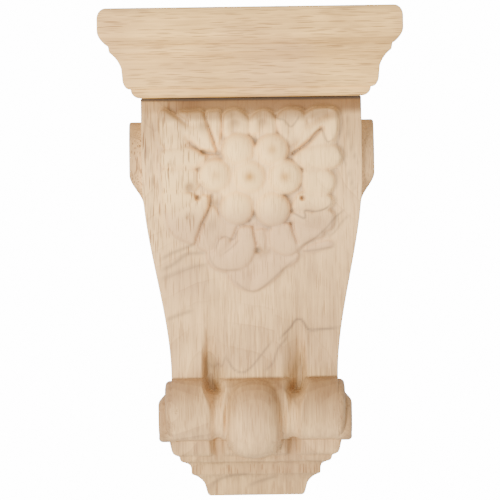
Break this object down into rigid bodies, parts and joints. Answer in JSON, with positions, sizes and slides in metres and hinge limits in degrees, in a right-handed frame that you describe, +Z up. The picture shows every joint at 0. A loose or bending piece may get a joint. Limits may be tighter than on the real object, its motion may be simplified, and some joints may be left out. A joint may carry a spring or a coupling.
{
  "type": "wood corbel",
  "caption": "Carved wooden scroll corbel with berries among leaves on its breast, a fluted waist, a curled foot, a stepped base and a moulded cap that carries a shelf.",
  "frame": {"origin": "middle of the flat back, halfway up the whole corbel", "axes": "+Z up, +Y out of the flat back into the wall, so the carved front faces -Y"},
  "size_m": [0.152, 0.104, 0.2472],
  "materials": {
    "carved_wood": "bare, sanded",
    "cap_wood": "bare, sanded"
  },
  "bodies": {
    "root": {"carved_body": "carved_wood", "moulded_cap": "cap_wood"}
  },
  "joints": []
}
